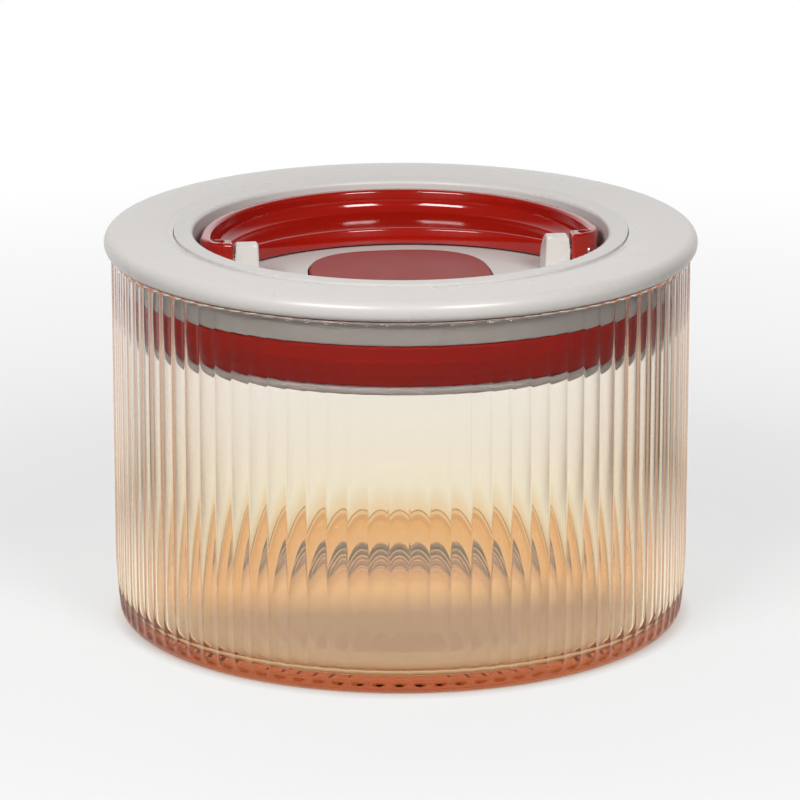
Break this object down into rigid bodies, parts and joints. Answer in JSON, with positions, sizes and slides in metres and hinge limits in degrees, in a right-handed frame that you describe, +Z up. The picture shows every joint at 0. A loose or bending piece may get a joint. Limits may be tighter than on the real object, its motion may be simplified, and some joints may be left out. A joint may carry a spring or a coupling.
{
  "type": "storage jar",
  "caption": "Wide fluted glass storage jar whose plug lid carries a sunken lever-lock handle, a silicone seal and a push-button vent.",
  "frame": {"origin": "centre of the jar's foot, on the surface it stands on", "axes": "+Z up, +X along the handle's hinge axis, +Y towards the handle's grip"},
  "size_m": [0.14, 0.14, 0.0937],
  "materials": {
    "amber_glass": "clear glass, faintly amber towards the foot",
    "white_gloss": "glossy moulded ABS",
    "white_satin": "satin moulded ABS",
    "red_gloss": "glossy moulded ABS",
    "red_satin": "fine-textured moulded ABS",
    "red_silicone": "smooth silicone rubber",
    "steel": "plain stainless steel"
  },
  "bodies": {
    "jar": {"glass_jar": "amber_glass"},
    "lid": {"crown_ring": "white_gloss", "well_tray": "white_satin", "plug_body": "white_satin", "plug_screws": "steel", "seal_ring": "red_silicone", "button_spring": "steel", "stem_seal_left": "red_silicone", "stem_seal_right": "red_silicone"},
    "clamp": {"lift_ring": "white_gloss", "clamp_plate": "white_gloss", "clamp_screws": "steel", "hinge_pin_left": "steel", "hinge_pin_right": "steel"},
    "handle": {"carry_handle": "red_gloss"},
    "button": {"vent_button": "red_satin", "vent_valve": "red_silicone"}
  },
  "joints": [
    {"name": "lid_lift", "type": "slide", "parent": "jar", "child": "lid", "axis": [0, 0, 1], "range_m": [0, 0.04]},
    {"name": "clamp_drop", "type": "slide", "parent": "lid", "child": "clamp", "axis": [0, 0, -1], "range_m": [0, 0.0015], "deforming": ["seal_ring"]},
    {"name": "handle_flip", "type": "hinge", "parent": "clamp", "child": "handle", "pos_m": [0, -0.0031, 0.0875], "axis": [1, 0, 0], "range_deg": [0, 90]},
    {"name": "vent_button_press", "type": "slide", "parent": "lid", "child": "button", "axis": [0, 0, -1], "range_m": [0, 0.0015], "stiffness_N_per_m": 500, "springref_m": -0.002, "deforming": ["button_spring"]}
  ],
  "couplings": [
    {"joint": "handle_flip", "follows": "clamp_drop", "rad_per_m": 1047}
  ]
}
